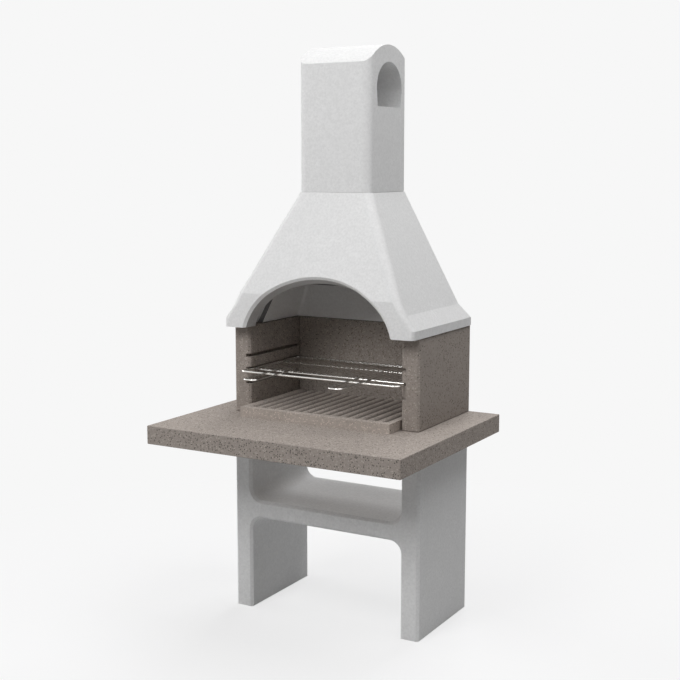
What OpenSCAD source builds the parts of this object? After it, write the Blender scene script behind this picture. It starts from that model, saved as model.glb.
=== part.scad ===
// Free-standing concrete barbecue: base, worktop, firebox, hood, chimney and a sliding wire grill.
// Origin on the floor under the middle of the worktop, X to the right, Y to the back, Z up.

/* [Base] */
// Width over the two legs
base_w = 770; // [640:5:900]
// Depth of the legs and the shelf, front to back
base_depth = 409; // [340:5:520]
// Height of the legs
base_h = 683; // [620:1:760]
// Thickness of each leg
leg_t = 73; // [58:1:84]
// Distance of the legs' back faces from the worktop's back edge
base_back_set = 20; // [0:1:60]
// Height of the shelf's underside above the floor
shelf_h = 351; // [300:1:400]
// Thickness of the shelf
shelf_t = 68; // [54:1:80]
// Radius of the rounded corners between the legs and the shelf
fillet_r = 47; // [20:1:70]
// Bevel on the upright outer edges of the legs
leg_bevel = 10; // [2:1:14]

/* [Worktop] */
// Width of the worktop
top_w = 1000; // [900:5:1200]
// Depth of the worktop, front to back
top_depth = 800; // [720:5:900]
// Thickness of the worktop
top_t = 66; // [54:1:80]
// Thickness of the adhesive beds
bed_t = 2; // [1:0.5:4]
// Distance of the adhesive from the edges of the joint that it fills
bed_inset = 6; // [2:1:12]

/* [Firebox] */
// Width over the two side walls
box_w = 762; // [700:2:800]
// Thickness of the side walls
wall_t = 70; // [58:1:80]
// Height of the side walls and the back panel
wall_h = 320; // [290:1:380]
// Depth of the side walls, front to back
wall_depth = 430; // [400:1:480]
// Bevel on the upright edges of the side walls
wall_bevel = 9; // [2:1:14]
// Thickness of the back panel
panel_t = 70; // [50:1:80]
// Distance of the back panel from the walls' back edges
panel_set = 16; // [0:1:30]

/* [Grooves] */
// Height of a groove
groove_h = 12; // [10:0.5:16]
// Depth of a groove in the wall
groove_depth = 18; // [14:0.5:24]
// Height of the lowest groove's middle above the worktop
groove_first = 113; // [90:1:130]
// Distance between grooves
groove_pitch = 50; // [40:1:60]
// Number of grooves in each wall
groove_count = 3; // [2:1:3]
// Groove that holds the grill, counted from the lowest as 0
grill_groove = 1; // [0:1:1]
// Side play of the grill frame in the grooves
frame_play = 4; // [1:0.5:6]

/* [Hearth plate] */
// Gap between the hearth plate and each side wall
plate_side_gap = 5; // [4:1:30]
// Thickness of the hearth plate at the tops of its ribs
plate_t = 35; // [30:1:50]
// Distance by which the plate stands out in front of the walls
plate_front = 73; // [20:1:80]
// Gap between the plate and the back panel
plate_gap = 6; // [3:1:15]
// Number of ribs
rib_count = 16; // [10:1:18]
// Depth of the channels between the ribs
rib_depth = 11; // [6:1:14]
// Flat border between the channels' ends and the plate's front edge
plate_border = 28; // [15:1:50]

/* [Hood] */
// Height of the hood
hood_h = 486; // [440:1:540]
// Distance by which the hood's lip stands out over the outside of each side wall
lip_over = 5; // [1:1:10]
// Height of the upright lip
lip_h = 30; // [20:1:40]
// Height of the flare above the lip
flare_h = 51; // [35:1:60]
// Distance by which the hood stands out in front of the side walls
hood_over = 59; // [40:1:80]
// Distance of the lip's back edge from the worktop's back edge
hood_back_set = 10; // [5:1:12]
// Height of the front skirt
skirt_h = 125; // [115:1:140]
// Lean of the front skirt over its height
skirt_lean = 7; // [2:1:15]
// Distance of the hood's sides from the lip's sides at the top of the skirt
shoulder_set = 58; // [50:1:64]
// Distance of the hood's back from the worktop's back edge at the top of the skirt
shoulder_back_set = 48; // [40:1:56]
// Radius of the lip's front corners
lip_corner_r = 24; // [12:1:45]
// Radius of the hood's front corners at the top of the skirt
hood_corner_r = 24; // [15:1:32]
// Radius of the back corners of the hood and the chimney
back_corner_r = 6; // [2:1:12]
// Ledge of the hood around the foot of the chimney
hood_ledge = 2; // [0.5:0.5:4]

/* [Hood mouth] */
// Distance of the arched mouth's foot from the lip's sides
mouth_side = 82; // [76:1:110]
// Height of the arched mouth
mouth_h = 195; // [180:1:205]
// Height of the oval's middle below the hood's foot
mouth_drop = 43; // [10:1:60]
// Bevel around the mouth
mouth_edge = 10; // [4:1:14]
// Depth of the mouth at its foot
mouth_depth = 67; // [55:1:75]
// Draft of the mouth's sides, from the bevel's front edge to the cavity
side_draft = 13; // [11:1:20]
// Draft of the mouth's crown, from the bevel's front edge to the cavity
crown_draft = 30; // [20:1:36]

/* [Smoke cavity] */
// Ledge of the side walls' tops inside the hood
side_ledge = 10; // [4:1:14]
// Ledge of the back panel's top inside the hood
back_ledge = 1; // [0:1:10]
// Thickness of the hood's sides at the top of the skirt
shoulder_t = 53; // [45:1:60]
// Radius of the cavity's corners
cavity_r = 14; // [8:1:25]
// Extra width of the cavity on each side, just behind the mouth
pocket_out = 26; // [10:1:30]
// Length of that wider part at its foot, front to back
pocket_l = 86; // [60:1:110]
// Height of that wider part
pocket_h = 120; // [90:1:124]
// Distance of that wider part behind the hood's front wall
pocket_set = 2; // [1:1:10]

/* [Chimney] */
// Width of the chimney
chimney_w = 292; // [260:2:310]
// Depth of the chimney, front to back
chimney_depth = 267; // [255:1:280]
// Height of the chimney to the crown of its roof
chimney_h = 513; // [440:1:640]
// Distance of the chimney's back from the worktop's back edge
chimney_set = 88; // [80:1:96]
// Thickness of the chimney's walls
flue_wall = 36; // [28:1:40]
// Radius of the chimney's front corners
chimney_corner_r = 32; // [15:1:40]
// Radius of the vaulted roof
roof_r = 193; // [180:1:260]
// Distance of the roof's crown behind the chimney's middle
crown_shift = 12; // [0:1:14]
// Radius of the smoke outlets' arches
outlet_r = 95; // [70:1:96]
// Height of the smoke outlets below the arch's centre
outlet_drop = 62; // [50:1:90]
// Thickness of the roof over the outlets
roof_t = 59; // [45:1:70]
// Distance by which each side of an outlet draws in at its foot
outlet_draw = 7; // [0:1:12]

/* [Grill] */
// Diameter of the frame rod
frame_d = 8; // [6:0.5:9]
// Depth of the grill frame over its rods
frame_depth = 394; // [370:1:420]
// Radius of the frame's corners, at the middle of the rod
frame_corner_r = 20; // [12:1:30]
// Diameter of the crossbars
bar_d = 5; // [4:0.5:6]
// Distance of the front crossbar behind the front rod
front_bar_set = 74; // [50:1:90]
// Distance of the middle crossbar behind the front rod
middle_bar_set = 259; // [200:1:290]
// Distance of the back crossbar in front of the back rod
back_bar_set = 10; // [8:1:20]
// Diameter of the grill wires
wire_d = 3; // [2.5:0.5:4]
// Number of grill wires
wire_count = 31; // [21:2:31]
// Distance of the outermost wires from the ends of the crossbars
wire_margin = 17; // [10:1:25]
// Length of a wire past the middle of the crossbars at its two ends
wire_end = 3; // [2:0.25:3.5]
// Diameter of the handle wire
handle_d = 6; // [5:0.5:7]
// Width of a handle between its two arms
handle_w = 50; // [40:1:70]
// Distance of each handle from the grill's middle
handle_x = 170; // [120:1:220]
// Distance by which a handle stands out in front of the front rod
handle_reach = 172; // [100:1:190]
// Length of a handle's arm behind the front crossbar
handle_tail = 12; // [6:1:20]
// Radius of a handle's bends
handle_bend_r = 17; // [8:1:19]

/* [Reinforcement] */
// Diameter of the steel bars in the castings
rebar_d = 8; // [6:1:10]
// Concrete cover over the ends of the bars
cover = 32; // [25:1:45]
// Number of long bars in the worktop
long_bars = 5; // [4:1:6]
// Number of short bars in the worktop
short_bars = 7; // [5:1:8]
// Number of upright bars in each leg, and of level bars in the shelf
leg_bars = 3; // [2:1:4]

/* [Clearances] */
// Clearance of the grill rods over the grooves' floors
slide_clear = 0.3; // [0.2:0.1:1]
// Clearance around the steel bars in the castings
cast_clear = 0.3; // [0.2:0.1:0.6]
// Gap between two welded rods or tied bars
weld_gap = 0.1; // [0.05:0.05:0.3]

/* [Hidden] */
$fn = 48;
RIB_STEPS = 8;
MOUTH_STEPS = 32;
overrun = 5;
CORNER_STEPS = 8;

// Base and worktop
base_back = top_depth/2 - base_back_set;
base_front = base_back - base_depth;
base_inner_x = base_w/2 - leg_t;
shelf_top = shelf_h + shelf_t;
top_z = base_h + bed_t;
deck_z = top_z + top_t;

// Firebox
wall_z = deck_z + bed_t;
wall_top = wall_z + wall_h;
wall_back = top_depth/2;
wall_front = wall_back - wall_depth;
inner_x = box_w/2 - wall_t;
panel_back = wall_back - panel_set;
panel_front = panel_back - panel_t;
panel_x = inner_x - bed_t;
groove_z = [for (i = [0:groove_count - 1]) deck_z + groove_first + i*groove_pitch];

// Hearth plate
plate_x = inner_x - plate_side_gap;
plate_y = wall_front - plate_front;
plate_l = panel_front - plate_gap - plate_y;
rib_pitch = 2*plate_x/rib_count;

// Chimney
chimney_back = wall_back - chimney_set;
chimney_front = chimney_back - chimney_depth;
flue_w = chimney_w - 2*flue_wall;
flue_front = chimney_front + flue_wall;
flue_back = chimney_back - flue_wall;
crown_y = (chimney_front + chimney_back)/2 + crown_shift;
outlet_z = chimney_h - roof_t - outlet_r;

// Hood, with heights counted from its foot
hood_z = wall_top + bed_t;
chimney_z = hood_z + hood_h + bed_t;
lip_w = box_w + 2*lip_over;
hood_front = wall_front - hood_over;
hood_back = wall_back - hood_back_set;
flare_z = lip_h + flare_h;
shoulder_w = lip_w - 2*shoulder_set;
shoulder_front = hood_front + skirt_lean;
shoulder_back = wall_back - shoulder_back_set;
hood_top_w = chimney_w + 2*hood_ledge;
hood_top_front = chimney_front - hood_ledge;
hood_top_back = chimney_back + hood_ledge;
slope_h = hood_h - skirt_h;
side_slope = (shoulder_w - hood_top_w)/2/slope_h;
back_slope = (shoulder_back - hood_top_back)/slope_h;
front_slope = (hood_top_front - shoulder_front)/slope_h;
// The sides and the back keep their slope below the top of the skirt, down to the flare
flare_w = shoulder_w + 2*side_slope*(skirt_h - flare_z);
flare_back = shoulder_back + back_slope*(skirt_h - flare_z);
// Each section of the hood, from the top down: height, width, front, back, radii of the front and back corners
HOOD_SECTIONS = [
    [hood_h, hood_top_w, hood_top_front, hood_top_back, chimney_corner_r, back_corner_r],
    [skirt_h, shoulder_w, face_y(skirt_h), shoulder_back, hood_corner_r, back_corner_r],
    [flare_z, flare_w, face_y(flare_z), flare_back, hood_corner_r, back_corner_r],
    [lip_h, lip_w, face_y(lip_h), hood_back, lip_corner_r, back_corner_r],
    [0, lip_w, face_y(0), hood_back, lip_corner_r, back_corner_r]
];

// Smoke cavity
cavity_w = 2*(inner_x + side_ledge);
cavity_front = hood_front + mouth_depth;
cavity_back = panel_front + back_ledge;
cavity_shoulder_w = shoulder_w - 2*shoulder_t;
// Each section of the cavity, in the same order
CAVITY_SECTIONS = [
    [hood_h + overrun, flue_w, flue_front, flue_back, cavity_r, cavity_r],
    [skirt_h, cavity_shoulder_w, cavity_front, cavity_back, cavity_r, cavity_r],
    [-overrun, cavity_w, cavity_front, cavity_back, cavity_r, cavity_r]
];
// Shares of the pocket's depth and length at its top
POCKET_SHARE = [0.9, 1.4];
pocket_front = cavity_front + pocket_set;
pocket_top_w = cavity_shoulder_w + 2*pocket_out*POCKET_SHARE[0];
POCKET_SECTIONS = [
    [pocket_h, pocket_top_w, pocket_front, pocket_front + pocket_l*POCKET_SHARE[1], cavity_r, cavity_r],
    [-overrun, cavity_w + 2*pocket_out, pocket_front, pocket_front + pocket_l, cavity_r, cavity_r]
];

// Mouth, which reaches the cavity where its front slopes back too
mouth_half = lip_w/2 - mouth_side;
crown_over = max(0, mouth_h - crown_draft - skirt_h);
mouth_back = cavity_front + (flue_front - cavity_front)/slope_h*crown_over + overrun;

// Grill
frame_r = frame_d/2;
frame_z = groove_z[grill_groove] - groove_h/2 + slide_clear + frame_r;
frame_half = inner_x + groove_depth - frame_play - frame_r;
frame_back = panel_front - slide_clear - frame_r;
frame_front = frame_back - frame_depth + frame_d;
frame_top = frame_z + frame_r;
bar_z = frame_z - frame_r + bar_d/2;
wire_z = bar_z + bar_d/2 + weld_gap + wire_d/2;
bar_half = frame_half - frame_r - weld_gap;
// Half length of the back crossbar, whose ends meet the frame's bends
bend_inside = frame_corner_r - frame_r - weld_gap;
bend_overlap = max(0, frame_corner_r - back_bar_set + bar_d/2);
back_bar_half = frame_half - frame_corner_r + sqrt(pow(bend_inside, 2) - pow(bend_overlap, 2));
front_bar_y = frame_front + front_bar_set;
middle_bar_y = frame_front + middle_bar_set;
back_bar_y = frame_back - back_bar_set;
wire_pitch = 2*(bar_half - wire_margin)/(wire_count - 1);
wire_y = front_bar_y - wire_end;
wire_l = back_bar_y + wire_end - wire_y;
handle_r = handle_d/2;
handle_z = max(frame_top, wire_z + wire_d/2) + weld_gap + handle_r;
handle_y = frame_front - handle_reach;
handle_l = front_bar_y + handle_tail - handle_y;

// Reinforcement
rebar_r = rebar_d/2;
rebar_step = (rebar_d + weld_gap)/2;

// Front face of the hood at height z: an upright skirt, then the slope
function face_y(z) = z < skirt_h
    ? hood_front + skirt_lean*z/skirt_h
    : shoulder_front + front_slope*(z - skirt_h);

// Rod along X or Y from its lowest end
module rod_x(r, l) {
    rotate([0, 90, 0]) cylinder(r = r, h = l);
}

module rod_y(r, l) {
    rotate([-90, 0, 0]) cylinder(r = r, h = l);
}

// Block given by its lowest corner and its size
module block(corner, size) {
    translate(corner) cube(size);
}

// Plan outline with bevelled corners
module bevelled_plan(w, l, b) {
    polygon([
        [b, 0], [w - b, 0], [w, b], [w, l - b],
        [w - b, l], [b, l], [0, l - b], [0, b]
    ]);
}

// Plan outline with round corners, in the middle of X
module rounded_plan(w, front, back, front_r, back_r) {
    translate([-w/2, front + front_r]) square([w, back - back_r - front - front_r]);
    translate([-w/2 + front_r, front]) square([w - 2*front_r, front_r]);
    translate([-w/2 + back_r, back - back_r]) square([w - 2*back_r, back_r]);
    for (side = [-1, 1]) {
        translate([side*(w/2 - front_r), front + front_r]) circle(r = front_r);
        translate([side*(w/2 - back_r), back - back_r]) circle(r = back_r);
    }
}

// The same outline as points, from a section [height, width, front, back, front radius, back radius]
function plan_ring(section) =
    let (half = section[1]/2, front = section[2], back = section[3]) [
        for (quarter = [0:3], i = [0:CORNER_STEPS])
            let (a = 90*(quarter + i/CORNER_STEPS), r = quarter < 2 ? section[5] : section[4])
                [
                    (quarter == 0 || quarter == 3 ? half - r : r - half) + r*cos(a),
                    (quarter < 2 ? back - r : front + r) + r*sin(a),
                    section[0]
                ]
    ];

// Solid through rings of as many points each. The first ring runs counter-clockwise, seen from outside
module loft(rings) {
    n = len(rings[0]);
    last = len(rings) - 1;
    polyhedron(
        points = [for (ring = rings) each ring],
        faces = [
            [for (i = [n - 1:-1:0]) i],
            for (k = [0:last - 1], i = [0:n - 1])
                each [
                    [k*n + (i + 1)%n, (k + 1)*n + (i + 1)%n, (k + 1)*n + i],
                    [k*n + (i + 1)%n, (k + 1)*n + i, k*n + i]
                ],
            [for (i = [0:n - 1]) last*n + i]
        ]
    );
}

// Front outline of the base: two legs and a shelf with rounded inner corners
module base_outline() {
    difference() {
        translate([-base_w/2, 0]) square([base_w, base_h]);
        translate([0, -fillet_r]) base_gap(shelf_h + fillet_r);
        translate([0, shelf_top]) base_gap(base_h - shelf_top + fillet_r);
    }
}

// Gap between the legs, with round corners
module base_gap(h) {
    rounded_plan(2*base_inner_x, 0, h, fillet_r, fillet_r);
}

module base_frame() {
    color("gainsboro")
    difference() {
        intersection() {
            translate([0, base_back, 0])
                rotate([90, 0, 0])
                    linear_extrude(height = base_depth) base_outline();
            translate([-base_w/2, base_front, 0])
                linear_extrude(height = base_h) bevelled_plan(base_w, base_depth, leg_bevel);
        }
        base_bars(cast_clear);
    }
}

// Steel bars of the base: upright in the legs, level through the shelf, beside each other
module base_bars(extra) {
    r = rebar_r + extra;
    span = base_depth - 2*cover;
    for (i = [0:leg_bars - 1])
        translate([0, base_front + cover + span*i/(leg_bars - 1), 0]) {
            for (x = [-base_w/2 + leg_t/2, base_w/2 - leg_t/2])
                translate([x, -rebar_step, cover - extra])
                    cylinder(r = r, h = base_h - 2*(cover - extra));
            translate([-base_w/2 + cover - extra, rebar_step, shelf_h + shelf_t/2])
                rod_x(r, base_w - 2*(cover - extra));
        }
}

module base_reinforcement() {
    color("dimgray") base_bars(0);
}

module base_adhesive() {
    color("silver")
    for (x = [-base_w/2, base_inner_x])
        block([x + bed_inset, base_front + bed_inset, base_h],
              [leg_t - 2*bed_inset, base_depth - 2*bed_inset, bed_t]);
}

module worktop() {
    color("rosybrown")
    difference() {
        block([-top_w/2, -top_depth/2, top_z], [top_w, top_depth, top_t]);
        worktop_bars(cast_clear);
    }
}

// Steel bars of the worktop: long ones below, short ones on top of them
module worktop_bars(extra) {
    r = rebar_r + extra;
    span_x = top_w - 2*cover - 2*rebar_d;
    span_y = top_depth - 2*cover - 2*rebar_d;
    translate([0, 0, top_z + top_t/2]) {
        for (i = [0:long_bars - 1])
            translate([-top_w/2 + cover - extra, -span_y/2 + span_y*i/(long_bars - 1), -rebar_step])
                rod_x(r, top_w - 2*(cover - extra));
        for (i = [0:short_bars - 1])
            translate([-span_x/2 + span_x*i/(short_bars - 1), -top_depth/2 + cover - extra, rebar_step])
                rod_y(r, top_depth - 2*(cover - extra));
    }
}

module worktop_reinforcement() {
    color("dimgray") worktop_bars(0);
}

module wall_adhesive() {
    color("silver") {
        for (x = [-box_w/2, inner_x])
            block([x + bed_inset, wall_front + bed_inset, deck_z],
                  [wall_t - 2*bed_inset, wall_depth - 2*bed_inset, bed_t]);
        block([-inner_x + bed_inset, panel_front + bed_inset, deck_z],
              [2*(inner_x - bed_inset), panel_t - 2*bed_inset, bed_t]);
    }
}

// Right wall of the firebox; the left one is its mirror image
module side_wall() {
    difference() {
        translate([inner_x, wall_front, wall_z])
            linear_extrude(height = wall_h) bevelled_plan(wall_t, wall_depth, wall_bevel);
        for (z = groove_z)
            block([inner_x - overrun, wall_front - overrun, z - groove_h/2],
                  [groove_depth + overrun, panel_front - wall_front + overrun, groove_h]);
    }
}

module right_wall() {
    color("rosybrown") side_wall();
}

module left_wall() {
    color("rosybrown") mirror([1, 0, 0]) side_wall();
}

module back_panel() {
    color("rosybrown")
    block([-panel_x, panel_front, wall_z], [2*panel_x, panel_t, wall_h]);
}

module panel_adhesive() {
    color("silver")
    for (x = [-inner_x, panel_x])
        block([x, panel_front + bed_inset, wall_z + bed_inset],
              [bed_t, panel_t - 2*bed_inset, wall_h - 2*bed_inset]);
}

// Outline of one channel between two ribs: a narrow valley between broad round ribs
function channel_points() = [
    for (i = [-RIB_STEPS:RIB_STEPS])
        [i/RIB_STEPS*rib_pitch/2, -rib_depth*pow(1 - abs(i)/RIB_STEPS, 2)]
];

module hearth_plate() {
    channel_l = plate_l - plate_border + overrun;
    color("tan")
    difference() {
        block([-plate_x, plate_y, deck_z], [2*plate_x, plate_l, plate_t]);
        for (i = [1:rib_count - 1])
            translate([-plate_x + i*rib_pitch, plate_y + plate_border + channel_l, deck_z + plate_t])
                rotate([90, 0, 0])
                    linear_extrude(height = channel_l)
                        polygon(concat(channel_points(), [[rib_pitch/2, overrun], [-rib_pitch/2, overrun]]));
    }
}

module hood_adhesive() {
    bed_x = cavity_w/2 + pocket_out + bed_inset;
    bed_w = box_w/2 - bed_inset - bed_x;
    color("silver")
    for (x = [-bed_x - bed_w, bed_x])
        block([x, wall_front + bed_inset, wall_top],
              [bed_w, hood_back - wall_front - 2*bed_inset, bed_t]);
    color("silver")
    block([-panel_x + bed_inset, cavity_back + bed_inset, wall_top],
          [2*(panel_x - bed_inset), panel_back - cavity_back - 2*bed_inset, bed_t]);
}

// One ring of the mouth: half an oval, drawn in at its sides and crown. It lies at a given y,
// or where it follows the hood's face, at that depth behind the face
function mouth_ring(side_in, crown_in, follow, y) =
    let (
        rise = mouth_h + mouth_drop - crown_in,
        half = (mouth_half - side_in)/sqrt(1 - pow(mouth_drop/rise, 2)),
        low = asin((mouth_drop - overrun)/rise)
    ) [
        for (i = [0:MOUTH_STEPS])
            let (t = low + (180 - 2*low)*i/MOUTH_STEPS, z = rise*sin(t) - mouth_drop)
                [half*cos(t), follow ? face_y(z) + y : y, z]
    ];

// Space of the arched mouth: bevelled at the front and narrower towards the cavity
module mouth_space() {
    loft([
        mouth_ring(-overrun, -overrun, false, hood_front - 2*overrun),
        mouth_ring(-overrun, -overrun, true, -overrun),
        mouth_ring(mouth_edge, mouth_edge, true, mouth_edge),
        mouth_ring(side_draft, crown_draft, false, mouth_back)
    ]);
}

module hood() {
    color("white")
    translate([0, 0, hood_z])
    difference() {
        loft([for (section = HOOD_SECTIONS) plan_ring(section)]);
        loft([for (section = CAVITY_SECTIONS) plan_ring(section)]);
        loft([for (section = POCKET_SECTIONS) plan_ring(section)]);
        mouth_space();
    }
}

// Ring of the chimney's foot, inset from both of its faces
module chimney_adhesive() {
    color("silver")
    translate([0, 0, chimney_z - bed_t])
        linear_extrude(height = bed_t)
            difference() {
                rounded_plan(chimney_w - 2*bed_inset, chimney_front + bed_inset, chimney_back - bed_inset,
                             chimney_corner_r - bed_inset, back_corner_r);
                flue_plan(bed_inset);
            }
}

// Plan of the flue, wider by extra on each side
module flue_plan(extra) {
    translate([-flue_w/2 - extra, flue_front - extra])
        square([flue_w + 2*extra, flue_back - flue_front + 2*extra]);
}

// Side outline of a smoke outlet: a round arch on sides that draw in at the foot
module outlet_outline() {
    foot = outlet_r - outlet_draw;
    intersection() {
        circle(r = outlet_r);
        translate([-outlet_r, 0]) square([2*outlet_r, outlet_r]);
    }
    polygon([[-outlet_r, 0], [-foot, -outlet_drop], [foot, -outlet_drop], [outlet_r, 0]]);
}

module chimney() {
    color("white")
    translate([0, 0, chimney_z])
    difference() {
        intersection() {
            linear_extrude(height = chimney_h)
                rounded_plan(chimney_w, chimney_front, chimney_back, chimney_corner_r, back_corner_r);
            translate([-chimney_w, crown_y, chimney_h - roof_r]) vault_space();
        }
        translate([0, 0, -overrun])
            linear_extrude(height = outlet_z + overrun) flue_plan(0);
        translate([-chimney_w, crown_y, outlet_z])
            rotate([90, 0, 90])
                linear_extrude(height = 2*chimney_w) outlet_outline();
    }
}

// Space under the vaulted roof
module vault_space() {
    rod_x(roof_r, 2*chimney_w);
    block([0, -roof_r, -chimney_h - roof_r], [2*chimney_w, 2*roof_r, chimney_h + roof_r]);
}

// Quarter bend of a rod, turning from +X to +Y about the origin
module bend(r, rod_r) {
    rotate_extrude(angle = 90) translate([r, 0]) circle(r = rod_r);
}

module grill_frame() {
    r = frame_corner_r;
    color("silver")
    translate([0, 0, frame_z]) {
        for (y = [frame_front, frame_back])
            translate([-frame_half + r, y, 0]) rod_x(frame_r, 2*(frame_half - r));
        for (x = [-frame_half, frame_half])
            translate([x, frame_front + r, 0]) rod_y(frame_r, frame_back - frame_front - 2*r);
        translate([frame_half - r, frame_back - r, 0]) bend(r, frame_r);
        translate([-frame_half + r, frame_back - r, 0]) rotate([0, 0, 90]) bend(r, frame_r);
        translate([-frame_half + r, frame_front + r, 0]) rotate([0, 0, 180]) bend(r, frame_r);
        translate([frame_half - r, frame_front + r, 0]) rotate([0, 0, 270]) bend(r, frame_r);
    }
}

module grill_bar(y, half) {
    color("silver")
    translate([-half, y, bar_z]) rod_x(bar_d/2, 2*half);
}

module grill_front_bar() {
    grill_bar(front_bar_y, bar_half);
}

module grill_middle_bar() {
    grill_bar(middle_bar_y, bar_half);
}

module grill_back_bar() {
    grill_bar(back_bar_y, back_bar_half);
}

module grill_wires() {
    color("silver")
    for (i = [0:wire_count - 1])
        translate([(i - (wire_count - 1)/2)*wire_pitch, wire_y, wire_z]) rod_y(wire_d/2, wire_l);
}

// Handle wire bent to a U, open to the back
module handle(middle_x) {
    half = handle_w/2;
    r = handle_bend_r;
    color("silver")
    translate([middle_x, handle_y, handle_z]) {
        for (x = [-half, half])
            translate([x, r, 0]) rod_y(handle_r, handle_l - r);
        translate([-half + r, 0, 0]) rod_x(handle_r, 2*(half - r));
        translate([-half + r, r, 0]) rotate([0, 0, 180]) bend(r, handle_r);
        translate([half - r, r, 0]) rotate([0, 0, 270]) bend(r, handle_r);
    }
}

module grill_left_handle() {
    handle(-handle_x);
}

module grill_right_handle() {
    handle(handle_x);
}

base_frame();
base_reinforcement();
base_adhesive();
worktop();
worktop_reinforcement();
wall_adhesive();
left_wall();
right_wall();
back_panel();
panel_adhesive();
hearth_plate();
hood_adhesive();
hood();
chimney_adhesive();
chimney();
grill_frame();
grill_front_bar();
grill_middle_bar();
grill_back_bar();
grill_wires();
grill_left_handle();
grill_right_handle();
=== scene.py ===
"""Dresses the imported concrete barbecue: cast concrete, chromed wire, a plain stage and the camera.

Laid out as an add-on with one panel, and run as a script around the frame.
"""

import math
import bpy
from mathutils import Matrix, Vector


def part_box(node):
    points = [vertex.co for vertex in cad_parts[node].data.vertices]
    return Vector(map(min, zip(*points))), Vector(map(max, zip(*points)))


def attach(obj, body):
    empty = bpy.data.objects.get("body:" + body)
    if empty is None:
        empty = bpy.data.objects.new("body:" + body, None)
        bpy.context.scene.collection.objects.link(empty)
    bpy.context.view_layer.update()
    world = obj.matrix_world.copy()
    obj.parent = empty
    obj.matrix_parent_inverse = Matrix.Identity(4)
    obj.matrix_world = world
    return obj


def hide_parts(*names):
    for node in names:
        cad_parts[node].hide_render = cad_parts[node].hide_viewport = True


bl_info = {
    "name": "Concrete Barbecue",
    "version": (1, 0, 0),
    "blender": (4, 5, 0),
    "location": "3D View > Sidebar > Barbecue",
    "description": "Builds the surfaces of a garden barbecue of cast concrete around its construction model",
    "category": "Object",
}

import bmesh
import bpy
from bpy.props import FloatProperty, FloatVectorProperty, IntProperty, PointerProperty
from mathutils import Vector

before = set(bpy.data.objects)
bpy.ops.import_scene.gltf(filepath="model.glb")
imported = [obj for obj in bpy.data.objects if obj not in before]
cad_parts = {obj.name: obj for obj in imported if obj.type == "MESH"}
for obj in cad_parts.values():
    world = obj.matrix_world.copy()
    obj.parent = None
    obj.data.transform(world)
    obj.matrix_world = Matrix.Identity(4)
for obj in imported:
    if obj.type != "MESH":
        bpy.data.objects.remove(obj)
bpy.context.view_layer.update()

ROOT = "root"
GRILL = "grill"


# Small helpers


def frame_box(node):
    """Lowest and highest corner of a node of the frame."""
    low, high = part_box(node)
    return Vector(low), Vector(high)


def linear(colour):
    """Linear colour of an sRGB colour given from 0 to 255."""
    def channel(value):
        """One channel of the linear colour."""
        value /= 255
        return value / 12.92 if value <= 0.04045 else ((value + 0.055) / 1.055) ** 2.4
    return tuple(channel(value) for value in colour) + (1.0,)


def new_object(name, data):
    """A new object with a mesh, a lamp or a camera, linked to the scene."""
    obj = bpy.data.objects.new(name, data)
    bpy.context.scene.collection.objects.link(obj)
    return obj


def built_object(name, bm):
    """A new object at the origin with the mesh that was built."""
    mesh = bpy.data.meshes.new(name)
    bm.to_mesh(mesh)
    bm.free()
    return new_object(name, mesh)


def feed(tree, value, socket):
    """Gives a node's input its value: a link from another node's output, or a constant."""
    if isinstance(value, bpy.types.NodeSocket):
        tree.links.new(value, socket)
    else:
        socket.default_value = value


def bake_modifiers(obj):
    """Replaces an object's mesh by what its modifiers give, and removes them."""
    graph = bpy.context.evaluated_depsgraph_get()
    mesh = bpy.data.meshes.new_from_object(obj.evaluated_get(graph))
    obj.modifiers.clear()
    obj.data = mesh
    return obj


def smooth_shade(obj, angle):
    """Smooth shading with sharp edges kept where faces meet at more than an angle."""
    for polygon in obj.data.polygons:
        polygon.use_smooth = True
    obj.data.set_sharp_from_angle(angle=angle)


def finish_piece(obj, body, nodes, finish=None):
    """Hands a finished piece to the frame: its material, nodes and body."""
    if finish is not None:
        obj.data.materials.clear()
        obj.data.materials.append(finish)
    if nodes:
        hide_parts(*nodes)
    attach(obj, body)
    return obj


# Shaping of meshes


# Loose triangles of a node are joined where their corners are this close and their planes this alike
MERGE_DISTANCE = 0.00002
FLAT_ANGLE = math.radians(0.4)
# Two heights that differ by less are the same
LEVEL = 0.001
# Two broad faces meet in a crease from this angle up, and a face is broad from this width up
CREASE = math.radians(3)
BROAD = 0.012
# Shares of the full rounding: at the base's soles, in a joint, and at a bed's level edges
SOLE_SHARE = 0.15
JOINT_SHARE = 0.25
BED_SHARE = 0.1
# Weight of each face's size in its corners' shading
FACE_WEIGHT = 80
# Angles from which an edge is sharp, on each kind of piece
SHARP = math.radians(28)
BASE_SHARP = math.radians(40)
BEVEL_SHARP = math.radians(20)
PLATE_SHARP = math.radians(50)
HOOD_SHARP = math.radians(24)
BED_SHARP = math.radians(50)
ROD_SHARP = math.radians(50)
WIRE_SHARP = math.radians(40)
BEAD_SHARP = math.radians(60)
# Steps in each quarter turn of the base's inner corners and of the rods' bends
CORNER_STEPS = 12
BEND_STEPS = 10


def broad(face):
    """True for a face that is no strip of a rounded corner."""
    return face.calc_area() > BROAD * max(edge.calc_length() for edge in face.edges)


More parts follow.
